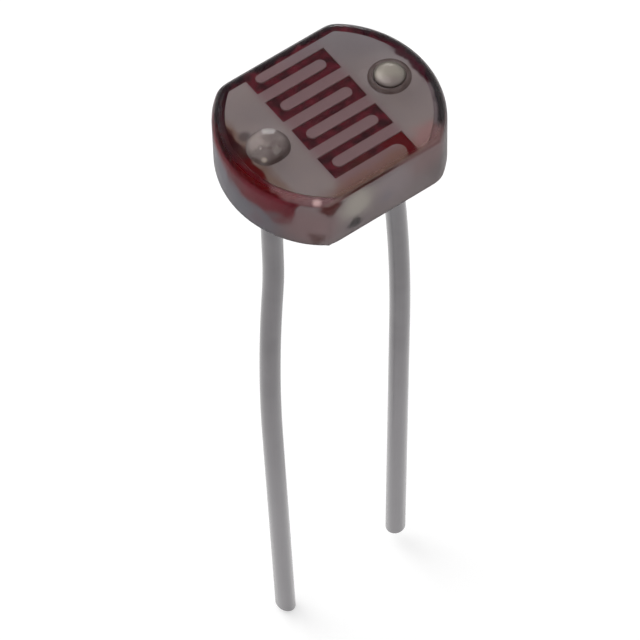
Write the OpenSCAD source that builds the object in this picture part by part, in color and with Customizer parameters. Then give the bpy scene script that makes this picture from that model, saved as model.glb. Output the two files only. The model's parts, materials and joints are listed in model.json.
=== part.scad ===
// Photoresistor, 5 mm type: a ceramic chip with a cadmium sulphide film, two comb
// electrodes, two nail-headed lead wires bonded with conductive paste, and a clear resin coat.
// The underside of the ceramic is the seating plane, z = 0. The leads lie along X.

/* [Body] */
// Length across the round ends, over the resin
body_length = 5.2; // [5:0.05:5.6]
// Width across the flats, over the resin
body_width = 4.2; // [4:0.05:4.6]

/* [Ceramic] */
// Thickness of the ceramic chip
ceramic_thick = 1.5; // [1.2:0.05:1.8]
// Chamfer round the underside of the chip
ceramic_chamfer = 0.1; // [0.05:0.01:0.12]

/* [Films] */
// Thickness of the cadmium sulphide film
sulphide_thick = 0.04; // [0.03:0.005:0.06]
// Thickness of the metal electrode film
electrode_thick = 0.03; // [0.025:0.005:0.05]
// Bare sulphide left between the electrodes and the edge of the chip
electrode_rim = 0.22; // [0.15:0.01:0.26]
// Bare sulphide left at the front flat, where the electrodes reach further out
front_rim = 0.03; // [0.02:0.01:0.12]
// Width of the bare sulphide track between the two combs
track_width = 0.2; // [0.12:0.01:0.26]
// Distance from one stroke of the track to the next
stroke_pitch = 0.485; // [0.4:0.005:0.6]
// Narrowest finger allowed beside a flat
edge_finger_min = 0.12; // [0.08:0.01:0.2]
// Electrode land left between the track and the paste round a terminal
land_width = 0.19; // [0.15:0.01:0.3]

/* [Leads] */
// Wire diameter
lead_dia = 0.5; // [0.4:0.02:0.6]
// Distance between the two leads at the seating plane
lead_pitch = 3.3; // [3.1:0.05:3.5]
// Radial clearance of a lead in its hole in the ceramic
lead_clearance = 0.05; // [0.03:0.01:0.08]
// Length of the left lead below the seating plane
lead_drop_left = 17; // [14:0.5:30]
// Length of the right lead below the seating plane
lead_drop_right = 16.5; // [14:0.5:30]
// Depth to which the left lead runs straight down
straight_left = 2.5; // [0.9:0.05:4]
// Depth to which the right lead runs straight down
straight_right = 0.95; // [0.9:0.05:4]
// Radius of the bend below the straight run, on the wire's centre line
bend_radius = 15; // [13:1:25]
// Outward lean of a lead below that bend, in degrees
lead_splay = 4.6; // [2:0.1:5]
// Length of wire that leans outwards before the bow
lean_run = 0.2; // [0.1:0.05:2]
// Radius of the long bow that brings a lead back in, on the wire's centre line
bow_radius = 53; // [40:1:80]
// Inward lean of a lead below its bow, in degrees
lead_return = 1.2; // [0.6:0.1:2]
// Chamfer on the cut end of a lead
tip_chamfer = 0.05; // [0.02:0.01:0.1]

/* [Terminals] */
// Diameter of the nail head on a lead
head_dia = 0.7; // [0.62:0.01:0.75]
// Height of the head's straight rim
head_rim = 0.16; // [0.13:0.01:0.2]
// Height of the crown on the head, above its rim
head_crown = 0.06; // [0.03:0.01:0.09]
// Diameter of the conductive paste round a head
paste_dia = 0.98; // [0.9:0.01:1.05]
// Height of the paste against a head
paste_height = 0.1; // [0.07:0.01:0.12]
// Width of the paste's lip, where it meets the head
paste_lip = 0.03; // [0.02:0.005:0.05]

/* [Resin coat] */
// Thickness of the coat on the sides
side_coat = 0.08; // [0.06:0.01:0.15]
// Thickness of the coat over the electrodes
top_coat = 0.15; // [0.1:0.01:0.2]
// Rounding of the coat along its top edge, where it thins over the chip's corner
coat_edge_round = 0.3; // [0.15:0.02:0.36]
// Height above the underside of the chip at which the coat ends
coat_stop = 0.15; // [0.12:0.01:0.3]
// Rounding of the coat along its lower edge
coat_lip_round = 0.12; // [0.05:0.01:0.12]
// Thickness of the coat over the crown of a nail head, where it swells
terminal_cover = 0.11; // [0.06:0.01:0.16]
// How far the swelling reaches past the paste
swell_margin = 0.07; // [0.04:0.01:0.12]

/* [Hidden] */
$fn = 64;

// Heights of the stack, from the seating plane up
z_sulphide = ceramic_thick;
z_metal = z_sulphide + sulphide_thick;
z_face = z_metal + electrode_thick;
z_coat = z_face + top_coat;
z_crown = z_face + head_rim + head_crown;

// The outline of the body shrinks by the coat to the chip, and by the rim to the electrodes
chip_inset = side_coat;
metal_inset = side_coat + electrode_rim;

// The two terminals, and the hole through the chip at each
terminal_x = lead_pitch / 2;
hole_dia = lead_dia + 2 * lead_clearance;

// The swelling of the coat over a terminal
swell_dia = paste_dia + 2 * swell_margin;
swell_height = z_crown + terminal_cover - z_coat;

// Roundings of the coat, held to a share of what its walls allow
wall_share = 0.85;
corner_limit = side_coat + top_coat + sqrt(2 * side_coat * top_coat);
shoulder_round = min(coat_edge_round, wall_share * corner_limit);
lip_round = min(coat_lip_round, wall_share * side_coat);

// The track: as many strokes as leave a finger beside each flat, always an odd number
metal_half_w = body_width / 2 - metal_inset;
front_half_w = body_width / 2 - chip_inset - front_rim;
strokes_each_side = floor((metal_half_w - track_width / 2 - edge_finger_min) / stroke_pitch);
finger_count = 2 * strokes_each_side + 2;
track_edge = strokes_each_side * stroke_pitch + track_width / 2;
finger_width = stroke_pitch - track_width;
turn_reach = terminal_x - paste_dia / 2 - land_width;
finger_reach = turn_reach - track_width;

// Steps in a rounded edge
arc_steps = 8;

// How far a cutter runs past what it cuts
cut = 1;

// How far a run of wire laps into a bend, so that the two join
run_lap = 0.03;
// How much thicker a bend is than the wire, on the radius, for the same reason
bend_swell = 0.002;

// Radius of the sphere whose cap has this base and height
function cap_radius(dia, height) = (dia * dia / 4 + height * height) / (2 * height);

// Edge of a solid as [inset, height] pairs, from its underside to its top
function plain_edge(low, high) = [[0, low], [0, high]];
function chamfered_edge(low, high, chamfer) = [[chamfer, low], [0, low + chamfer], [0, high]];
function rounded_edge(low, high, low_round, high_round) = concat(
    [for (i = [0:arc_steps]) let (a = 90 * i / arc_steps)
        [low_round * (1 - sin(a)), low + low_round * (1 - cos(a))]],
    [for (i = [0:arc_steps]) let (a = 90 * i / arc_steps)
        [high_round * (1 - cos(a)), high - high_round * (1 - sin(a))]]);

// Section of a round stretch of the outline, with the edge at this distance from its centre
module round_section(reach, edge) {
    last = len(edge) - 1;
    polygon(concat([[0, edge[0][1]]], [for (e = edge) [reach - e[0], e[1]]], [[0, edge[last][1]]]));
}

// Section across the two flats
module flat_section(half_w, edge) {
    polygon(concat([for (e = edge) [half_w - e[0], e[1]]],
                   [for (i = [len(edge) - 1:-1:0]) [edge[i][0] - half_w, edge[i][1]]]));
}

// Body of the component's outline, set in by inset: a disc with two flats
module slug(inset, edge) {
    intersection() {
        rotate_extrude() round_section(body_length / 2 - inset, edge);
        rotate([90, 0, 90]) linear_extrude(2 * body_length, center = true)
            flat_section(body_width / 2 - inset, edge);
    }
}

// Low dome standing at this height
module dome(dia, height, base) {
    ball_r = cap_radius(dia, height);
    translate([0, 0, base]) intersection() {
        translate([0, 0, height - ball_r]) sphere(ball_r);
        translate([0, 0, height / 2]) cube([2 * dia, 2 * dia, height], center = true);
    }
}

// Children at the left terminal, at the right one, or at both
module at_terminals(sides = [-1, 1]) {
    for (side = sides) translate([side * terminal_x, 0, 0]) children();
}

// Cutter for the lead holes through a layer between these heights
module lead_holes(low, high) {
    at_terminals() translate([0, 0, low - cut]) cylinder(h = high - low + 2 * cut, d = hole_dia);
}

module ceramic_substrate() {
    color("#e9e2dc") difference() {
        slug(chip_inset, chamfered_edge(0, ceramic_thick, ceramic_chamfer));
        lead_holes(0, ceramic_thick);
    }
}

module photoconductor_layer() {
    color("#6b1a26") difference() {
        slug(chip_inset, plain_edge(z_sulphide, z_metal));
        lead_holes(z_sulphide, z_metal);
    }
}

// One finger of the left comb, reaching to the right, with a round tip
module finger(y, width) {
    tip_x = finger_reach - width / 2;
    translate([-terminal_x, y - width / 2]) square([terminal_x + tip_x, width]);
    translate([tip_x, y]) circle(d = width);
}

// The left comb: the land under the terminal, every second finger and the one beside the flat
module comb(flat_y) {
    translate([-body_length, -body_width]) square([body_length - turn_reach, 2 * body_width]);
    for (i = [1:2:finger_count - 3]) finger((strokes_each_side + 0.5 - i) * stroke_pitch, finger_width);
    finger(-(flat_y + track_edge) / 2, flat_y - track_edge);
}

// Metal film laid down on the sulphide in the shape of the children
module metal_film() {
    intersection() {
        translate([0, 0, z_metal]) cylinder(h = electrode_thick, r = body_length / 2 - metal_inset);
        translate([-body_length, -front_half_w, z_metal - cut])
            cube([2 * body_length, front_half_w + metal_half_w, electrode_thick + 2 * cut]);
        translate([0, 0, z_metal - cut]) linear_extrude(electrode_thick + 2 * cut) children();
    }
}

module left_film() {
    metal_film() comb(front_half_w);
}

module right_film() {
    metal_film() rotate(180) comb(metal_half_w);
}

module electrode_left() {
    color("#8f8a8c") difference() {
        left_film();
        lead_holes(z_metal, z_face);
    }
}

module electrode_right() {
    color("#8f8a8c") difference() {
        right_film();
        lead_holes(z_metal, z_face);
    }
}

// Nail head, seated on the electrode
module head() {
    translate([0, 0, z_face]) cylinder(h = head_rim, d = head_dia);
    dome(head_dia, head_crown, z_face + head_rim);
}

// Paste banked up round a head, as a solid
module paste() {
    translate([0, 0, z_face])
        cylinder(h = paste_height, d1 = paste_dia, d2 = head_dia + 2 * paste_lip);
}

module bond(side) {
    color("#a9a49c") at_terminals([side]) difference() {
        paste();
        translate([0, 0, z_face - cut]) cylinder(h = paste_height + 2 * cut, d = head_dia);
    }
}

// A straight run of wire going down, lapped into what it meets, with the children at its lower end
module run(length, end_lap = run_lap) {
    translate([0, 0, -length]) {
        translate([0, 0, -end_lap]) cylinder(h = length + end_lap + run_lap, d = lead_dia);
        children();
    }
}

// A bend that leans the wire outwards, or inwards if the angle is negative, with the children at its end
module bend(angle, radius) {
    centre_x = sign(angle) * radius;
    mirror([angle > 0 ? 1 : 0, 0, 0]) translate([-radius, 0, 0]) rotate([-90, 0, 0])
        rotate_extrude(angle = abs(angle)) translate([radius, 0])
            circle(d = lead_dia + 2 * bend_swell);
    translate([centre_x, 0, 0]) rotate([0, -angle, 0]) translate([-centre_x, 0, 0]) children();
}

// Cut end of a lead
module tip() {
    translate([0, 0, -tip_chamfer])
        cylinder(h = tip_chamfer, d1 = lead_dia - 2 * tip_chamfer, d2 = lead_dia);
}

// A lead at the right terminal: head, straight run, outward lean, bow and inward lean
module lead(straight, drop) {
    bow_drop = bow_radius * (sin(lead_splay) + sin(lead_return));
    lean_drop = bend_radius * sin(lead_splay) + lean_run * cos(lead_splay);
    last = (drop - straight - lean_drop - bow_drop) / cos(lead_return) - tip_chamfer;
    color("#9a979a") at_terminals([1]) {
        head();
        translate([0, 0, z_face]) run(z_face + straight) bend(lead_splay, bend_radius) run(lean_run)
            bend(-lead_splay - lead_return, bow_radius) run(last, 0) tip();
    }
}

module lead_right() {
    lead(straight_right, lead_drop_right);
}

module lead_left() {
    rotate(180) lead(straight_left, lead_drop_left);
}

// Everything that the coat closes over
module coat_core() {
    slug(chip_inset, plain_edge(-cut, z_metal));
    left_film();
    right_film();
    at_terminals() {
        paste();
        head();
    }
}

// Low mound in the coat over a terminal, run on down into the coat
module swelling() {
    ball_r = cap_radius(swell_dia, swell_height);
    intersection() {
        translate([0, 0, z_coat + swell_height - ball_r]) sphere(ball_r);
        translate([0, 0, z_face + ball_r]) cube(2 * ball_r, center = true);
    }
}

module resin_coat() {
    color("#d8d2c8", 0.35) difference() {
        union() {
            slug(0, rounded_edge(coat_stop, z_coat, lip_round, shoulder_round));
            at_terminals() swelling();
        }
        coat_core();
    }
}

ceramic_substrate();
photoconductor_layer();
electrode_left();
electrode_right();
bond(-1);  // bond_left
bond(1);  // bond_right
lead_left();
lead_right();
resin_coat();
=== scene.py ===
import json
import math

import bmesh
import bpy
from mathutils import Matrix, Vector

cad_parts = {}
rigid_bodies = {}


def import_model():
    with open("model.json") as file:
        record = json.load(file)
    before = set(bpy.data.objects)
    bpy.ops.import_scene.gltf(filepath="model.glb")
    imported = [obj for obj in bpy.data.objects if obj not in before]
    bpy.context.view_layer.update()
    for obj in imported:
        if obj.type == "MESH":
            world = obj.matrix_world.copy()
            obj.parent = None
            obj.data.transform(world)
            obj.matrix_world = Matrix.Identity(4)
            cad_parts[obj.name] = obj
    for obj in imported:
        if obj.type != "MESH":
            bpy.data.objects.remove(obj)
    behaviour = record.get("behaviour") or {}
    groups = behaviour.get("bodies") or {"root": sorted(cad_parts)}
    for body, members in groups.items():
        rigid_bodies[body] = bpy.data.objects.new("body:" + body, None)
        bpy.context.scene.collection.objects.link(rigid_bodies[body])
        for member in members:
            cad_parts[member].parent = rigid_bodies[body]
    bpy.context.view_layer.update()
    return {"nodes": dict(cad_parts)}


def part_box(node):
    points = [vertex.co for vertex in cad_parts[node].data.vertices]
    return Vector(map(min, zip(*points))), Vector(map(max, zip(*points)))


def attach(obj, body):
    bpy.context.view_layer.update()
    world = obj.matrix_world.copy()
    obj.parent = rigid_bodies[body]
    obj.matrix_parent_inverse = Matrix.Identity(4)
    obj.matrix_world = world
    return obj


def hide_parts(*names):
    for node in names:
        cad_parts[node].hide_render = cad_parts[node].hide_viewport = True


for leftover in list(bpy.data.objects):
    bpy.data.objects.remove(leftover)
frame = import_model()
nodes = frame["nodes"]

# The pieces are modelled in millimetres and brought to metres when they are done.
MM = 0.001

# Sizes of the part in millimetres, read from the frame where a node's box gives them
coat_low, coat_high = (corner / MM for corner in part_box("resin_coat"))
BODY_R, BODY_HALF_W, COAT_STOP = coat_high.x, coat_high.y, coat_low.z
CHIP_R, CHIP_HALF_W, CHIP_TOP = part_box("ceramic_substrate")[1] / MM
FILM_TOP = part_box("photoconductor_layer")[1].z / MM
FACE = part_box("electrode_left")[1].z / MM
bond_low, bond_high = (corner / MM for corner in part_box("bond_right"))
TERMINAL_X = (bond_low.x + bond_high.x) / 2
PASTE_R = (bond_high.x - bond_low.x) / 2
LEFT_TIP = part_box("lead_left")[0].z / MM
RIGHT_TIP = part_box("lead_right")[0].z / MM

# The coat: its top between the mounds, how far its cavity laps onto the chip, the shoulder's
# height, ring and rounding, the lip's rounding, and the band at the outline where both start
COAT_TOP, WALL_LAP = 1.72, 0.03
SHOULDER, SHOULDER_RING, SHOULDER_ROUND, LIP_ROUND, OUTER_BAND = 0.36, 0.4, 0.3, 0.068, 0.14
CORNER_REACH = 0.5
WALL_STEPS, TOP_RINGS = 8, 34
# Mounds over the terminals: side, height and reach
MOUNDS = ((-1, 0.12, 0.7), (-1, 0.06, 0.35), (1, 0.15, 0.75))
MOUND_PEAK = 0.1

# The leads: wire, bends and bow as in the CAD, the cut's slant and burr, and the nail head,
# with its crown as rings of radius and rise
WIRE_R, BEND_R, LEAN_RUN, BOW_R = 0.25, 15.0, 0.2, 53.0
SPLAY, LEAN_BACK = math.radians(4.6), math.radians(1.2)
STRAIGHT_LEFT, STRAIGHT_RIGHT = 2.5, 0.95
SHEAR_LEFT, SHEAR_RIGHT = math.radians(24), math.radians(-6)
CUT_SPARE, BURR = 0.5, 0.05
HEAD_R, HEAD_RIM = 0.35, 0.1
CROWN = ((0.344, 0.024), (0.326, 0.022), (0.28, 0.026), (0.2, 0.024), (0.12, 0.014), (0.05, 0.008))

# The pastes: how far they sink into the electrode, and their profiles as rings of radius and height
PASTE_SINK = 0.02
COLLAR = ((0.485, 0.004), (0.462, 0.035), (0.43, 0.062), (0.395, 0.087), (0.362, 0.1), (0.33, 0.1))
CAP = ((0.488, 0.004), (0.475, 0.05), (0.445, 0.11), (0.395, 0.17), (0.32, 0.215), (0.22, 0.24),
       (0.1, 0.25))
# Dents in the cap: the place from its middle and the move, over a spot and its reach
DENTS = (((0.0, 0.0), (0.03, 0.08, 0.0)), ((-0.28, 0.0), (0.03, 0.0, -0.03)),
         ((0.1, -0.3), (0.0, 0.03, -0.03)), ((0.0, -0.45), (0.0, 0.045, 0.0)))
DENT_SPOT, DENT_REACH, LUMPINESS = 0.08, 0.3, 0.015

# Corners in the circle that each piece starts from, and steps along the wire's bend and bow
COAT_CORNERS, WIRE_CORNERS, PASTE_CORNERS = 240, 40, 48
BEND_STEPS, BOW_STEPS = 6, 24
# Random draws of the two pastes
CAP_SEED, COLLAR_SEED = 4, 7
# Heights this close are level, and vertices this close are one
LEVEL, ONE = 1e-4, 1e-5
SMOOTH_ANGLE = math.radians(40)

# The photograph's azimuth, elevation and roll, and the camera fitted to it: its distance, the
# height that it aims at and the aim's shift in the picture, in millimetres, and its lens
VIEW_AZ, VIEW_EL, VIEW_ROLL = (math.radians(d) for d in (-34.628, 54.356, -1.726))
DISTANCE, AIM_HEIGHT, AIM_RIGHT, AIM_UP = 116.154, -6.0, -0.3376, -0.1263
SENSOR, LENS, CLIP_NEAR, CLIP_FAR = 36.0, 281.25, 0.005, 20.0


def srgb(code):
    """Linear colour of an sRGB hex code."""
    parts = [int(code[i:i + 2], 16) / 255 for i in (1, 3, 5)]
    return [c / 12.92 if c <= 0.04045 else ((c + 0.055) / 1.055) ** 2.4 for c in parts] + [1.0]


# Modelling: one piece at a time is in edit mode, and vertices are selected by their place.

def begin(name, verts, radius, x, z):
    """Starts a piece from a bare circle, in edit mode."""
    bpy.ops.object.select_all(action="DESELECT")
    bpy.ops.mesh.primitive_circle_add(vertices=verts, radius=radius, fill_type="NOTHING")
    piece = bpy.context.object
    piece.name = piece.data.name = name
    bpy.ops.object.mode_set(mode="EDIT")
    bpy.ops.mesh.select_mode(type="VERT")
    bpy.ops.mesh.select_all(action="SELECT")
    bpy.ops.transform.translate(value=(x, 0, z))
    return piece


def pick(test):
    """Selects the vertices whose place passes the test, with the edges and faces between them."""
    bpy.ops.mesh.select_all(action="DESELECT")
    mesh = bmesh.from_edit_mesh(bpy.context.object.data)
    for v in mesh.verts:
        if test(v.co):
            v.select_set(True)
    mesh.select_flush_mode()
    bmesh.update_edit_mesh(bpy.context.object.data)


def pull(x=0.0, z=0.0):
    """Extrudes what is selected by a move."""
    bpy.ops.mesh.extrude_region_move(TRANSFORM_OT_translate={"value": (x, 0, z)})


def ring(centre_x, share, lift=0.0):
    """Extrudes the selected loop, scales it about the upright axis at centre_x and lifts it."""
    pull(z=lift)
    bpy.ops.transform.resize(value=(share, share, 1), center_override=(centre_x, 0, 0))


def done(piece):
    """Finishes a piece: doubles merged, normals outwards, metres, smooth shading."""
    bpy.ops.mesh.select_all(action="SELECT")
    bpy.ops.mesh.remove_doubles(threshold=ONE)
    bpy.ops.mesh.normals_make_consistent(inside=False)
    if bmesh.from_edit_mesh(piece.data).calc_volume(signed=True) < 0:
        bpy.ops.mesh.flip_normals()
    bpy.ops.object.mode_set(mode="OBJECT")
    piece.scale = (MM, MM, MM)
    bpy.ops.object.transform_apply(location=True, rotation=True, scale=True)
    bpy.ops.object.shade_smooth_by_angle(angle=SMOOTH_ANGLE)
    return piece


# Camera, at the photograph's angle

def studio_camera():
    back = Vector((math.sin(VIEW_AZ) * math.cos(VIEW_EL),
                   -math.cos(VIEW_AZ) * math.cos(VIEW_EL), math.sin(VIEW_EL)))
    level = Vector((math.cos(VIEW_AZ), math.sin(VIEW_AZ), 0))
    above = back.cross(level)
    right = math.cos(VIEW_ROLL) * level + math.sin(VIEW_ROLL) * above
    up = math.cos(VIEW_ROLL) * above - math.sin(VIEW_ROLL) * level
    aim = Vector((0, 0, AIM_HEIGHT)) + AIM_RIGHT * right + AIM_UP * up
    place = (aim + DISTANCE * back) * MM
    data = bpy.data.cameras.new("camera")
    data.sensor_width, data.lens = SENSOR, LENS
    data.clip_start, data.clip_end = CLIP_NEAR, CLIP_FAR
    camera = bpy.data.objects.new("camera", data)
    bpy.context.scene.collection.objects.link(camera)
    camera.matrix_world = Matrix(
        [[right[i], up[i], back[i], place[i]] for i in range(3)] + [[0, 0, 0, 1]])
    bpy.context.scene.camera = camera


studio_camera()


# The resin coat: a cup of clear epoxy over the chip, with a mound over each terminal.

def coat_shell():
    corner_x = math.sqrt(BODY_R ** 2 - BODY_HALF_W ** 2)
    shell = begin("coat_shell", COAT_CORNERS, BODY_R, 0, COAT_STOP)
    for side in (-1, 1):
        pick(lambda p: p.y * side > BODY_HALF_W)
        bpy.ops.transform.resize(value=(1, 0, 1), center_override=(0, side * BODY_HALF_W, 0))
    pick(lambda p: math.hypot(abs(p.x) - corner_x, abs(p.y) - BODY_HALF_W) < CORNER_REACH)
    bpy.ops.mesh.vertices_smooth(factor=0.5, repeat=12)

    # Wall, in steps as far as the shoulder
    bpy.ops.mesh.select_all(action="SELECT")
    for _ in range(WALL_STEPS):
        pull(z=(COAT_TOP - SHOULDER - COAT_STOP) / WALL_STEPS)
    pull(z=SHOULDER)
    bpy.ops.mesh.edge_face_add()

    # Top: a wide ring for the shoulder, then rings to the middle
    bpy.ops.mesh.inset(thickness=SHOULDER_RING)
    for i in range(TOP_RINGS):
        ring(0, 1 - 1 / (TOP_RINGS + 1 - i))
    bpy.ops.mesh.merge(type="CENTER")

    # Underside: the lip, then the cavity that the chip fills
    pick(lambda p: p.z < COAT_STOP + LEVEL)
    bpy.ops.mesh.edge_face_add()
    bpy.ops.mesh.inset(thickness=BODY_R - CHIP_R + WALL_LAP)
    pull(z=CHIP_TOP - WALL_LAP - COAT_STOP)

    # Shoulder and lip
    def outer(p):
        return (math.hypot(p.x, p.y) > BODY_R - OUTER_BAND
                or abs(p.y) > BODY_HALF_W - OUTER_BAND)
    pick(lambda p: p.z > COAT_TOP - LEVEL and outer(p))
    bpy.ops.mesh.bevel(offset=SHOULDER_ROUND, segments=10, profile=0.5, affect="EDGES")
    pick(lambda p: p.z < COAT_STOP + LEVEL and outer(p))
    bpy.ops.mesh.bevel(offset=LIP_ROUND, segments=5, profile=0.5, affect="EDGES")

    # Mounds where the coat runs over the terminals
    for side, height, reach in MOUNDS:
        pick(lambda p: p.z > COAT_TOP - LEVEL
             and math.hypot(p.x - side * TERMINAL_X, p.y) < MOUND_PEAK)
        bpy.ops.transform.translate(
            value=(0, 0, height), use_proportional_edit=True, proportional_edit_falloff="SMOOTH",
            proportional_size=reach, use_proportional_connected=True)
    return done(shell)


# A lead: wire with a nail head, a short bend, a long bow and a sheared tip.

def lead_wire(name, side, straight, tip, shear):
    x, z = side * TERMINAL_X, -straight
    wire = begin(name, WIRE_CORNERS, WIRE_R, x, FACE)
    pull(z=z - FACE)
    bpy.ops.mesh.spin(steps=BEND_STEPS, angle=side * SPLAY, axis=(0, 1, 0),
                      center=(x + side * BEND_R, 0, z))
    x += side * (BEND_R * (1 - math.cos(SPLAY)) + LEAN_RUN * math.sin(SPLAY))
    z -= BEND_R * math.sin(SPLAY) + LEAN_RUN * math.cos(SPLAY)
    pull(x=side * LEAN_RUN * math.sin(SPLAY), z=-LEAN_RUN * math.cos(SPLAY))
    bpy.ops.mesh.spin(steps=BOW_STEPS, angle=-side * (SPLAY + LEAN_BACK), axis=(0, 1, 0),
                      center=(x - side * BOW_R * math.cos(SPLAY), 0, z - BOW_R * math.sin(SPLAY)))
    x += side * BOW_R * (math.cos(LEAN_BACK) - math.cos(SPLAY))
    z -= BOW_R * (math.sin(SPLAY) + math.sin(LEAN_BACK))
    x -= side * (z - tip) * math.tan(LEAN_BACK)
    pull(x=-side * (z - tip + CUT_SPARE) * math.tan(LEAN_BACK), z=tip - CUT_SPARE - z)

    # The cut slopes along the picture's level direction, and its edge is burred over
    fall = math.tan(shear)
    bpy.ops.mesh.select_all(action="SELECT")
    bpy.ops.mesh.bisect(plane_co=(x, 0, tip + WIRE_R * abs(fall)), use_fill=True, clear_outer=True,
                        plane_no=(-fall * math.cos(VIEW_AZ), -fall * math.sin(VIEW_AZ), -1))
    bpy.ops.mesh.bevel(offset=BURR, segments=3, profile=0.5, affect="EDGES")

    # Nail head: a flange on the electrode, a straight rim and a low crown
    x = side * TERMINAL_X
    pick(lambda p: p.z > FACE - LEVEL)
    ring(x, HEAD_R / WIRE_R)
    pull(z=HEAD_RIM)
    reach = HEAD_R
    for next_reach, lift in CROWN:
        ring(x, next_reach / reach, lift)
        reach = next_reach
    bpy.ops.mesh.merge(type="CENTER")
    return done(wire)


# Conductive paste at a terminal: a collar against the head's rim, or a cap that covers the head.

def paste_drop(name, side, profile, open_top, dents, seed):
    x = side * TERMINAL_X
    base = FACE - PASTE_SINK
    drop = begin(name, PASTE_CORNERS, PASTE_R, x, base)
    reach, level = PASTE_R, base
    for next_reach, height in profile:
        ring(x, next_reach / reach, FACE + height - level)
        reach, level = next_reach, FACE + height
    if open_top:
        pull(z=base - level)
        pick(lambda p: p.z < base + LEVEL)
        bpy.ops.mesh.bridge_edge_loops()
    else:
        bpy.ops.mesh.merge(type="CENTER")
        pick(lambda p: p.z < base + LEVEL)
        bpy.ops.mesh.edge_face_add()
    # It sags to one side and is dented where the brush left it
    for away, move in dents:
        pick(lambda p: math.hypot(p.x - x - away[0], p.y - away[1]) < DENT_SPOT)
        bpy.ops.transform.translate(value=move, use_proportional_edit=True,
                                    proportional_size=DENT_REACH,
                                    proportional_edit_falloff="SMOOTH")
    pick(lambda p: p.z > base + LEVEL)
    bpy.ops.transform.vertex_random(offset=LUMPINESS, seed=seed)
    bpy.ops.mesh.vertices_smooth(factor=0.5, repeat=5)
    return done(drop)


def join_frame(piece, node):
    """The piece stands for a CAD node, whose own part is hidden, and moves with the body."""
    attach(piece, "root")
    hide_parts(node)


shell = coat_shell()
join_frame(shell, "resin_coat")
wire_left = lead_wire("wire_left", -1, STRAIGHT_LEFT, LEFT_TIP, SHEAR_LEFT)
join_frame(wire_left, "lead_left")
wire_right = lead_wire("wire_right", 1, STRAIGHT_RIGHT, RIGHT_TIP, SHEAR_RIGHT)
join_frame(wire_right, "lead_right")
paste_left = paste_drop("paste_left", -1, CAP, False, DENTS, CAP_SEED)
join_frame(paste_left, "bond_left")
paste_right = paste_drop("paste_right", 1, COLLAR, True, (), COLLAR_SEED)
join_frame(paste_right, "bond_right")


# Materials. Each pattern is laid out in millimetres on the Object coordinates. Under the resin the
# ceramic and the films have no gloss of their own, so theirs is switched off.

NOISE, MIX, MATH, VECTOR = (
    "ShaderNodeTexNoise", "ShaderNodeMix", "ShaderNodeMath", "ShaderNodeVectorMath")
RANGE, BUMP, SPLIT = "ShaderNodeMapRange", "ShaderNodeBump", "ShaderNodeSeparateXYZ"
COLOUR = {"data_type": "RGBA"}
SHADE = {"data_type": "RGBA", "blend_type": "MULTIPLY"}
SMOOTH = {"interpolation_type": "SMOOTHSTEP"}
TIMES_ADD, LARGER, ABSOLUTE = ({"operation": o} for o in ("MULTIPLY_ADD", "MAXIMUM", "ABSOLUTE"))

# Directions on the part
LEFT, RIGHT, FRONT, FAR = (-1, 0, 0), (1, 0, 0), (0, -1, 0), (0, 1, 0)
UP, DOWN, FRONT_LEFT = (0, 0, 1), (0, 0, -1), (-0.568, -0.823, 0)


def add(tree, kind, settings=None, links=None):
    """Adds a node with its settings. Links gives an input its value or the output that feeds it."""
    node = tree.nodes.new(kind)
    for key, value in (settings or {}).items():
        setattr(node, key, value)
    for key, value in (links or {}).items():
        if isinstance(value, bpy.types.NodeSocket):
            tree.links.new(value, node.inputs[key])
        else:
            node.inputs[key].default_value = value
    return node


def blank(name):
    """A new material, with its tree, its shader and the place on the part in millimetres."""
    material = bpy.data.materials.new(name)
    material.use_nodes = True
    tree = material.node_tree
    here = add(tree, "ShaderNodeTexCoord").outputs["Object"]
    place = add(tree, VECTOR, {"operation": "SCALE"}, {0: here, "Scale": 1 / MM})
    return material, tree, tree.nodes["Principled BSDF"], place.outputs[0]


# Shares of a stain, from none to most. Most is a number, or another share where two have to meet.

def spot(tree, place, centre, full, gone, most=1.0):
    """Share of a round stain: most within full millimetres of its centre, and none beyond gone."""
    away = add(tree, VECTOR, {"operation": "DISTANCE"}, {0: place, 1: centre}).outputs["Value"]
    return add(tree, RANGE, SMOOTH, {"Value": away, "From Min": full, "From Max": gone,
                                     "To Min": most, "To Max": 0.0}).outputs[0]


def slope(tree, place, direction, start, end, most=1.0):
    """Share that grows from none to most between two distances along a direction."""
    along = add(tree, VECTOR, {"operation": "DOT_PRODUCT"}, {0: place, 1: direction})
    return add(tree, RANGE, SMOOTH, {"Value": along.outputs["Value"], "From Min": start,
                                     "From Max": end, "To Min": 0.0, "To Max": most}).outputs[0]


def rim(tree, place, full, gone, most=1.0):
    """Share of a band along the chip's outline, by the distance in from its edge."""
    flat = add(tree, VECTOR, {"operation": "MULTIPLY"}, {0: place, 1: (1, 1, 0)}).outputs[0]
    reach = add(tree, VECTOR, {"operation": "LENGTH"}, {0: flat}).outputs["Value"]
    across = add(tree, SPLIT, None, {0: place}).outputs["Y"]
    across = add(tree, MATH, ABSOLUTE, {0: across}).outputs[0]
    across = add(tree, MATH, {"operation": "ADD"}, {0: across, 1: CHIP_R - CHIP_HALF_W}).outputs[0]
    out = add(tree, MATH, LARGER, {0: reach, 1: across}).outputs[0]
    return add(tree, RANGE, SMOOTH, {"Value": out, "From Min": CHIP_R - gone,
                                     "From Max": CHIP_R - full, "To Min": 0.0,
                                     "To Max": most}).outputs[0]


def ragged(tree, place, size, push):
    """The place, pushed about by noise of a size, so that a stain laid on it has a ragged edge."""
    drift = add(tree, NOISE, None, {"Vector": place, "Scale": 1 / size, "Detail": 2.0})
    drift = add(tree, VECTOR, {"operation": "SUBTRACT"},
                {0: drift.outputs["Color"], 1: (0.5, 0.5, 0.5)}).outputs[0]
    return add(tree, VECTOR, TIMES_ADD, {0: drift, 1: (push, push, push), 2: place}).outputs[0]


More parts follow.
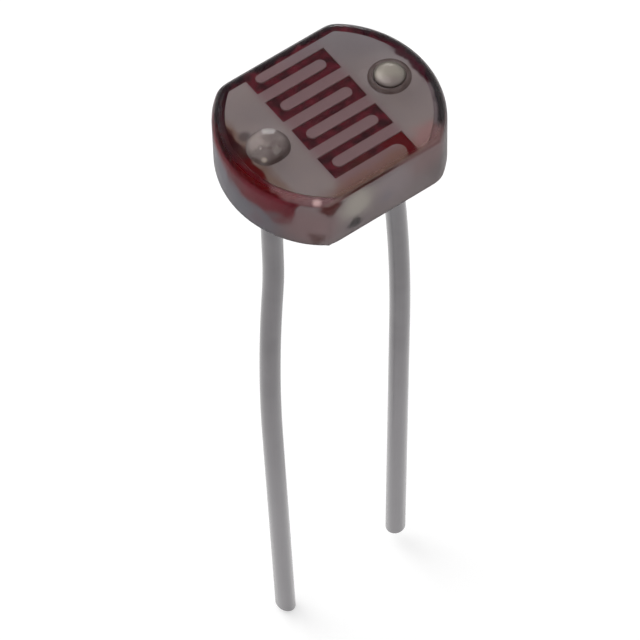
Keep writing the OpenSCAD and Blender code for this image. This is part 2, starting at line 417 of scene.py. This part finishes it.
def stained(tree, colour, stains):
    """The colour with stains laid over it, one after another, each a share and a colour."""
    for share, code in stains:
        colour = add(tree, MIX, COLOUR, {0: share, 6: colour, 7: srgb(code)}).outputs[2]
    return colour


def sintered_alumina():
    # Alumina powder, pressed and fired: matt, mauve-grey under the resin, finely pitted. The
    # sulphide spray has run over its edge and down the round end at the left, and left spots on
    # the front flat.
    # Sizes in millimetres. The pits are drawn coarser than real ones, so that they show.
    pit, cloud, pit_depth = 0.06, 0.55, 0.01
    material, tree, shader, place = blank("sintered_alumina")
    pits = add(tree, NOISE, None, {"Vector": place, "Scale": 1 / pit, "Detail": 3.0}).outputs[0]
    clouds = add(tree, NOISE, None, {"Vector": place, "Scale": 1 / cloud, "Detail": 1.5}).outputs[0]
    colour = add(tree, MIX, COLOUR, {0: clouds, 6: srgb("#61565b"), 7: srgb("#857a7d")}).outputs[2]
    there = ragged(tree, place, 0.3, 0.35)
    colour = stained(tree, colour, (
        # Painted light on the ceramic: the front flat painted paler to stand in for light on it, a
        # darker spot at the right end, and a painted bluish reflection on the left end
        (slope(tree, place, FRONT, 1.2, 1.9, 0.7), "#948a8c"),
        (spot(tree, place, (1.95, -1.65, 0.8), 0.2, 1.15, 0.65), "#4a4043"),
        (slope(tree, place, (-1, 0.05, 0), 2.05, 2.4, 0.65), "#777a85"),
        # Pale patches on the flat, the second the brightest, with a grey one between them
        (spot(tree, there, (0.3, -CHIP_HALF_W, 1.0), 0.2, 0.8, 0.7), "#a0959a"),
        (spot(tree, there, (-0.75, -CHIP_HALF_W, 1.05), 0.1, 0.7, 0.85), "#bdb9b1"),
        (spot(tree, there, (0.05, -CHIP_HALF_W, 0.75), 0.05, 0.25, 0.5), "#6f6f7c"),
        # Pink at the front left corner and high on the flat
        (spot(tree, there, (-1.8, -1.7, 0.8), 0.3, 0.9, 0.7), "#917679"),
        (spot(tree, there, (1.2, -CHIP_HALF_W, 1.3), 0.2, 0.8, 0.6), "#947a7c"),
        # Dark specks low on the flat and at the corner
        (spot(tree, there, (-0.8, -CHIP_HALF_W, 0.45), 0.1, 0.27, 0.85), "#383636"),
        (spot(tree, there, (-1.75, -1.9, 0.36), 0.08, 0.3, 0.7), "#553633")))
    colour = add(tree, MIX, SHADE, {0: 0.3, 6: colour, 7: pits}).outputs[2]

    # How far the spray has run down below the chip's top edge, deepest towards the front
    deep = slope(tree, place, (-0.97, -0.242, 0), 2.27, 2.38, 0.8)
    shallow = slope(tree, place, (-0.978, 0.208, 0), 2.2, 2.42, 0.4)
    run = add(tree, MATH, LARGER, {0: deep, 1: shallow}).outputs[0]
    uneven = add(tree, RANGE, SMOOTH, {"Value": clouds, "From Min": 0.3, "From Max": 0.7,
                                       "To Min": 0.6, "To Max": 1.25}).outputs[0]
    run = add(tree, MATH, TIMES_ADD, {0: run, 1: uneven, 2: 0.015}).outputs[0]
    height = add(tree, SPLIT, None, {0: place}).outputs["Z"]
    below = add(tree, MATH, {"operation": "SUBTRACT"}, {0: CHIP_TOP, 1: height}).outputs[0]
    share = add(tree, MATH, {"operation": "DIVIDE"}, {0: below, 1: run}).outputs[0]
    spray = add(tree, RANGE, SMOOTH, {"Value": share, "From Min": 0.5, "From Max": 1.4,
                                      "To Min": 0.95, "To Max": 0.0}).outputs[0]
    red = add(tree, MIX, COLOUR, {0: clouds, 6: srgb("#430a12"), 7: srgb("#7c2433")}).outputs[2]
    colour = add(tree, MIX, COLOUR, {0: spray, 6: colour, 7: red}).outputs[2]
    # A brown drop of it under the front left corner
    colour = stained(tree, colour, (
        (spot(tree, there, (-1.42, -CHIP_HALF_W, 1.42), 0.15, 0.34, 0.9), "#4f1d1b"),))
    tree.links.new(colour, shader.inputs["Base Color"])
    shader.inputs["Roughness"].default_value = 0.75
    shader.inputs["Specular IOR Level"].default_value = 0.0
    bump = add(tree, BUMP, None, {"Height": pits, "Strength": 0.3, "Distance": pit_depth * MM})
    tree.links.new(bump.outputs[0], shader.inputs["Normal"])
    return material


def cadmium_sulphide():
    # Cadmium sulphide, sprayed on and sintered: a matt, grainy film, dark maroon, mottled where the
    # grain is coarser. It is nearly black along the far edge, deep red at the left end, plum and
    # grey at the right end, and thin and pale along the front.
    # Sizes in millimetres. The grain is drawn coarser than the real one, so that it shows.
    grain_size, mottle_size, grain_depth = 0.05, 0.22, 0.01
    material, tree, shader, place = blank("cadmium_sulphide")
    grain = add(tree, NOISE, None, {"Vector": place, "Scale": 1 / grain_size, "Detail": 2.0})
    mottle = add(tree, NOISE, None, {"Vector": place, "Scale": 1 / mottle_size, "Detail": 2.0})
    mottle = add(tree, RANGE, SMOOTH, {"Value": mottle.outputs[0], "From Min": 0.32,
                                       "From Max": 0.68}).outputs[0]
    colour = add(tree, MIX, COLOUR, {0: mottle, 6: srgb("#33171c"), 7: srgb("#5d202b")}).outputs[2]
    there = ragged(tree, place, 0.3, 0.4)
    left = slope(tree, there, LEFT, 2.12, 2.28)
    far = slope(tree, place, (0.2, 0.98, 0), -1.5, -1.1, 0.95)
    right = spot(tree, place, (2.1, -1.15, FILM_TOP), 0.5, 0.7, 0.95)
    colour = stained(tree, colour, (
        # Grey and plum at the right end, dark at the far left, black along the far edge
        (spot(tree, there, (2.05, -1.2, FILM_TOP), 0.5, 0.75, 0.9), "#6d6468"),
        (spot(tree, there, (2.4, 0.15, FILM_TOP), 0.5, 0.85, 0.9), "#3c081b"),
        (slope(tree, place, (-0.8, 0.6, 0), 2.0, 2.25, 0.85), "#260710"),
        (rim(tree, there, 0.04, 0.2, far), "#12030c"),
        (rim(tree, place, 0.11, 0.18, right), "#241e22"),
        # Pink where it thins to the front left, deep red at the left end, darker to the far side
        (slope(tree, place, (-0.85, -0.53, 0), 2.15, 2.4, 0.8), "#855e61"),
        (left, "#500409"),
        (slope(tree, place, FAR, -0.2, 0.5, left), "#2a0308"),
        # Redder end of the track, and the front edge with its brown line and pink ends
        (spot(tree, there, (0.82, -1.6, FILM_TOP), 0.25, 0.65, 0.85), "#560f13"),
        (spot(tree, there, (-1.6, -1.85, FILM_TOP), 0.25, 0.6, 0.85), "#7c6064"),
        (slope(tree, place, FRONT, 1.93, 1.99, 0.85), "#7b6664"),
        (spot(tree, there, (-0.4, -CHIP_HALF_W, FILM_TOP), 0.4, 0.8, 0.95), "#43231e"),
        (spot(tree, there, (1.4, -2.0, FILM_TOP), 0.3, 0.55, 0.85), "#7c6263"),
        # Painted highlight on the film at the front left corner, standing in for the resin's corner
        # catching the light
        (spot(tree, place, (-1.65, -1.8, FILM_TOP), 0.03, 0.14, 0.9), "#d6b6b6")))
    tree.links.new(colour, shader.inputs["Base Color"])
    shader.inputs["Roughness"].default_value = 0.8
    shader.inputs["Specular IOR Level"].default_value = 0.0
    bump = add(tree, BUMP, None, {"Height": grain.outputs[0], "Strength": 0.5,
                                  "Distance": grain_depth * MM})
    tree.links.new(bump.outputs[0], shader.inputs["Normal"])
    return material


def evaporated_electrode():
    # Metal evaporated through a mask onto the grainy film: satin grey, and pink where the fingers
    # are thin. It is brown and overrun by the red film at the left end, plum at the right margin
    # and beige along the front. Where the film covers it, and along its edge, no metal shows, and
    # the side of its cut edge is painted pale, as painted light over the shade on that small step.
    # Sizes in millimetres. The grain is drawn coarser than the real one, so that it shows.
    grain_size, cloud, grain_depth = 0.05, 0.8, 0.005
    material, tree, shader, place = blank("evaporated_electrode")
    grain = add(tree, NOISE, None, {"Vector": place, "Scale": 1 / grain_size, "Detail": 2.0})
    grain = grain.outputs[0]
    clouds = add(tree, NOISE, None, {"Vector": place, "Scale": 1 / cloud, "Detail": 2.0}).outputs[0]
    colour = add(tree, MIX, COLOUR, {0: clouds, 6: srgb("#867c7f"), 7: srgb("#958988")}).outputs[2]
    across = add(tree, SPLIT, None, {0: place}).outputs["X"]
    across = add(tree, MATH, ABSOLUTE, {0: across}).outputs[0]
    thin = add(tree, RANGE, SMOOTH, {"Value": across, "From Min": 0.8, "From Max": 1.15,
                                     "To Min": 0.8, "To Max": 0.0}).outputs[0]
    there = ragged(tree, place, 0.3, 0.3)
    right = spot(tree, place, (2.32, 0.1, FACE), 0.4, 0.75, 0.97)
    edge = slope(tree, place, DOWN, 0.005 - FACE, 0.01 - FACE)
    overrun = slope(tree, there, (-0.998, 0.06, 0), 2.07, 2.16)
    colour = stained(tree, colour, (
        # Pink fingers, cooler far right, beige front edge, pink at its right end
        (thin, "#83656a"),
        (slope(tree, place, (0.6, 0.8, 0), 0.9, 2.1, 0.6), "#7d797f"),
        (slope(tree, there, (0.05, -1, 0), 1.5, 1.95, 0.85), "#7c5d53"),
        (spot(tree, there, (1.4, -1.85, FACE), 0.2, 0.6, 0.8), "#9c7b7c"),
        # Brown stain at the left end, then the red film over it, darker to the far side
        (slope(tree, there, LEFT, 1.84, 2.06, 0.9), "#7c665d"),
        (overrun, "#540508"),
        (slope(tree, place, FAR, -0.2, 0.5, overrun), "#2a0308"),
        # Dark specks beside the left paste, plum right margin, and the cut edge's side painted pale
        # as painted light over its shade
        (spot(tree, place, (-1.89, 0.55, FACE), 0.07, 0.21, 0.75), "#4f4447"),
        (spot(tree, place, (-2.14, 0.2, FACE), 0.08, 0.2, 0.85), "#381310"),
        (rim(tree, there, 0.26, 0.36, right), "#3c081b"),
        (slope(tree, place, RIGHT, -2.0, -1.9, edge), "#9d8b86")))
    colour = add(tree, MIX, SHADE, {0: 0.25, 6: colour, 7: grain}).outputs[2]
    tree.links.new(colour, shader.inputs["Base Color"])
    bare = add(tree, MATH, LARGER, {0: overrun, 1: edge}).outputs[0]
    metal = add(tree, MATH, TIMES_ADD, {0: bare, 1: -0.7, 2: 0.7}).outputs[0]
    tree.links.new(metal, shader.inputs["Metallic"])
    shader.inputs["Specular IOR Level"].default_value = 0.0
    rough = add(tree, RANGE, None, {"Value": grain, "To Min": 0.45, "To Max": 0.7}).outputs[0]
    tree.links.new(rough, shader.inputs["Roughness"])
    bump = add(tree, BUMP, None, {"Height": grain, "Strength": 0.25, "Distance": grain_depth * MM})
    tree.links.new(bump.outputs[0], shader.inputs["Normal"])
    return material


def silver_paste():
    # Silver-filled paste, brushed on and cured: dull warm grey with fine flakes, with painted shade
    # to the front, a dark foot that is partly a patchy brown stain and partly painted shade,
    # painted light on the cap's left shoulder and a small painted highlight on its front.
    # Sizes in millimetres. The flakes are drawn coarser than real ones, so that they show.
    flake, lump, patch, flake_depth, lump_depth = 0.04, 0.2, 0.4, 0.008, 0.08
    material, tree, shader, place = blank("silver_paste")
    flakes = add(tree, NOISE, None, {"Vector": place, "Scale": 1 / flake, "Detail": 2.0}).outputs[0]
    lumps = add(tree, NOISE, None, {"Vector": place, "Scale": 1 / lump, "Detail": 1.0}).outputs[0]
    tone = add(tree, RANGE, SMOOTH, {"Value": lumps, "From Min": 0.25, "From Max": 0.75}).outputs[0]
    colour = add(tree, MIX, COLOUR, {0: tone, 6: srgb("#776b6a"), 7: srgb("#978b8a")}).outputs[2]
    patchy = add(tree, NOISE, None, {"Vector": place, "Scale": 1 / patch, "Detail": 1.0}).outputs[0]
    patchy = add(tree, RANGE, SMOOTH, {"Value": patchy, "From Min": 0.38, "From Max": 0.58,
                                       "To Min": 0.225, "To Max": 0.9}).outputs[0]
    colour = stained(tree, colour, (
        # Painted shade to the front, then the foot: partly a patchy brown stain, partly painted
        # shade where the paste meets the electrode
        (slope(tree, place, (0.18, -0.98, 0), -0.5, 0.15, 0.75), "#5e4f4f"),
        (slope(tree, place, DOWN, -FACE - 0.15, -FACE - 0.06, patchy), "#4b3735"),
        # Painted light on the cap's left shoulder, and a small painted highlight low on its front
        (spot(tree, place, (-1.83, 0.25, FACE + 0.13), 0.08, 0.3, 0.6), "#b0a4a1"),
        (spot(tree, place, (-1.95, -0.27, FACE + 0.12), 0.03, 0.09, 0.75), "#c2b6ab")))
    colour = add(tree, MIX, SHADE, {0: 0.25, 6: colour, 7: flakes}).outputs[2]
    tree.links.new(colour, shader.inputs["Base Color"])
    shader.inputs["Metallic"].default_value = 0.2
    shader.inputs["Roughness"].default_value = 0.7
    bump = add(tree, BUMP, None, {"Height": lumps, "Strength": 0.3, "Distance": lump_depth * MM})
    bump = add(tree, BUMP, None, {"Height": flakes, "Strength": 0.3, "Distance": flake_depth * MM,
                                  "Normal": bump.outputs[0]})
    tree.links.new(bump.outputs[0], shader.inputs["Normal"])
    return material


def tinned_wire():
    # Drawn wire, dipped in tin: satin grey, with faint lines along its length and a trace of flux
    # that catches the light at its sides. It is painted lighter further down, away from the body's
    # shade. The nail head is struck flat, a warmer grey, with painted shade to the front.
    # Sizes in millimetres, and the share that stretches the lines along the wire. The lines are
    # drawn coarser than real ones, so that they show.
    line, stretch, dulling, line_depth = 0.05, 0.04, 1.2, 0.004
    material, tree, shader, place = blank("tinned_wire")
    along = add(tree, "ShaderNodeMapping", None, {"Vector": place, "Scale": (1, 1, stretch)})
    lines = add(tree, NOISE, None, {"Vector": along.outputs[0], "Scale": 1 / line, "Detail": 3.0})
    lines = lines.outputs[0]
    dull = add(tree, NOISE, None, {"Vector": place, "Scale": 1 / dulling, "Detail": 3.0}).outputs[0]
    colour = add(tree, MIX, COLOUR, {0: dull, 6: srgb("#5c585b"), 7: srgb("#7a7679")}).outputs[2]
    head_front_painted_shade = slope(tree, place, FRONT_LEFT, -1.0, -0.65, 0.72)
    colour = stained(tree, colour, (
        # Painted light: lighter further down the wire, away from the body's shade
        (slope(tree, place, DOWN, 4, 13, 0.6), "#8f8c8f"),
        (slope(tree, place, UP, FACE, FACE + 0.03, 0.9), "#999389"),
        # Painted shade on the head's front
        (slope(tree, place, UP, FACE, FACE + 0.03, head_front_painted_shade), "#6e6062")))
    colour = add(tree, MIX, SHADE, {0: 0.25, 6: colour, 7: lines}).outputs[2]
    tree.links.new(colour, shader.inputs["Base Color"])
    shader.inputs["Metallic"].default_value = 1.0
    shader.inputs["Coat Weight"].default_value = 1.0
    shader.inputs["Coat Roughness"].default_value = 0.2
    rough = add(tree, RANGE, None, {"Value": lines, "To Min": 0.4, "To Max": 0.6}).outputs[0]
    tree.links.new(rough, shader.inputs["Roughness"])
    bump = add(tree, BUMP, None, {"Height": lines, "Strength": 0.2, "Distance": line_depth * MM})
    tree.links.new(bump.outputs[0], shader.inputs["Normal"])
    return material


def clear_epoxy():
    # Clear epoxy, dipped and cured: glossy and glass clear on top, with slow waves from its flow,
    # and satin over the shoulder and down the sides, where it is thin and takes the grain of the
    # ceramic. Its mirror is held down, because a white surround would veil the dark film under it.
    # Waves, and the heights where the satin starts and where it is full, in millimetres
    wave, wave_depth = 1.1, 0.05
    satin_start, satin_full = 1.715, 1.62
    material, tree, shader, place = blank("clear_epoxy")
    waves = add(tree, NOISE, None, {"Vector": place, "Scale": 1 / wave, "Detail": 1.0}).outputs[0]
    shader.inputs["Base Color"].default_value = srgb("#f6f3f0")
    shader.inputs["Transmission Weight"].default_value = 1.0
    shader.inputs["IOR"].default_value = 1.3
    shader.inputs["Specular Tint"].default_value = (0.25, 0.25, 0.25, 1)
    rough = add(tree, RANGE, None, {"Value": waves, "To Min": 0.01, "To Max": 0.06}).outputs[0]
    sides = slope(tree, place, DOWN, -satin_start, -satin_full, 0.5)
    rough = add(tree, MATH, LARGER, {0: rough, 1: sides}).outputs[0]
    tree.links.new(rough, shader.inputs["Roughness"])
    bump = add(tree, BUMP, None, {"Height": waves, "Strength": 0.4, "Distance": wave_depth * MM})
    tree.links.new(bump.outputs[0], shader.inputs["Normal"])
    return material


def dress(material, *pieces):
    """Gives the pieces the material, in the one slot that each has."""
    for piece in pieces:
        if not piece.material_slots:
            piece.data.materials.append(None)
        piece.material_slots[0].material = material


dress(sintered_alumina(), nodes["ceramic_substrate"])
dress(cadmium_sulphide(), nodes["photoconductor_layer"])
dress(evaporated_electrode(), nodes["electrode_left"], nodes["electrode_right"])
dress(silver_paste(), paste_left, paste_right)
dress(tinned_wire(), wire_left, wire_right)
dress(clear_epoxy(), shell)


# Studio: a white floor that keeps the shadow, a white surround and soft lamps.

FLOOR_SIZE, FLOOR_GREY, FLOOR_LIFT = 4.0, 0.66, 0.48
SOFT_LIGHT, WHITE = 0.58, (1, 1, 1, 1)
# Each lamp's name, its place and size in millimetres, and its watts
LAMPS = (("overhead", (-60, 60, 280), 200, 0.17),
         ("back_left", (-60, 200, 195), 200, 0.2),
         ("behind", (150, 215, 44), 90, 0.085))


def seen(tree):
    """1 for rays that show the surround: from the camera, off gloss or through the resin."""
    path = add(tree, "ShaderNodeLightPath").outputs
    gloss = add(tree, MATH, LARGER, {0: path["Is Camera Ray"], 1: path["Is Glossy Ray"]})
    both = add(tree, MATH, LARGER, {0: gloss.outputs[0], 1: path["Is Transmission Ray"]})
    return both.outputs[0]


def studio_floor():
    bpy.ops.object.select_all(action="DESELECT")
    bpy.ops.mesh.primitive_plane_add(size=FLOOR_SIZE, location=(0, 0, LEFT_TIP * MM))
    floor = bpy.context.object
    floor.name = "floor"
    material = bpy.data.materials.new("white_floor")
    material.use_nodes = True
    tree = material.node_tree
    shader = tree.nodes["Principled BSDF"]
    shader.inputs["Base Color"].default_value = (FLOOR_GREY, FLOOR_GREY, FLOOR_GREY, 1)
    shader.inputs["Roughness"].default_value = 0.9
    shader.inputs["Specular IOR Level"].default_value = 0.0
    shader.inputs["Emission Color"].default_value = WHITE
    lift = add(tree, MATH, {"operation": "MULTIPLY"}, {0: seen(tree), 1: FLOOR_LIFT})
    tree.links.new(lift.outputs[0], shader.inputs["Emission Strength"])
    # From below the floor is clear, so that the underside of the part can be looked at
    under = add(tree, "ShaderNodeNewGeometry").outputs["Backfacing"]
    clear = add(tree, "ShaderNodeBsdfTransparent")
    both = add(tree, "ShaderNodeMixShader", None,
               {0: under, 1: shader.outputs[0], 2: clear.outputs[0]})
    tree.links.new(both.outputs[0], tree.nodes["Material Output"].inputs["Surface"])
    floor.data.materials.append(material)


def studio_world():
    world = bpy.data.worlds.new("studio")
    bpy.context.scene.world = world
    world.use_nodes = True
    tree = world.node_tree
    soft = tree.nodes["Background"]
    soft.inputs["Color"].default_value = WHITE
    soft.inputs["Strength"].default_value = SOFT_LIGHT
    white = add(tree, "ShaderNodeBackground", None, {"Color": WHITE, "Strength": 1.0})
    both = add(tree, "ShaderNodeMixShader", None,
               {0: seen(tree), 1: soft.outputs[0], 2: white.outputs[0]})
    tree.links.new(both.outputs[0], tree.nodes["World Output"].inputs["Surface"])


def softbox(name, place, size, watts):
    """A round soft lamp at a place in millimetres, turned to the chip."""
    data = bpy.data.lights.new(name, "AREA")
    data.shape, data.size, data.energy = "DISK", size * MM, watts
    lamp = bpy.data.objects.new(name, data)
    bpy.context.scene.collection.objects.link(lamp)
    lamp.location = Vector(place) * MM
    lamp.rotation_mode = "QUATERNION"
    lamp.rotation_quaternion = Vector(place).to_track_quat("Z", "Y")


studio_floor()
studio_world()
for lamp in LAMPS:
    softbox(*lamp)
bpy.context.scene.view_settings.view_transform = "Standard"
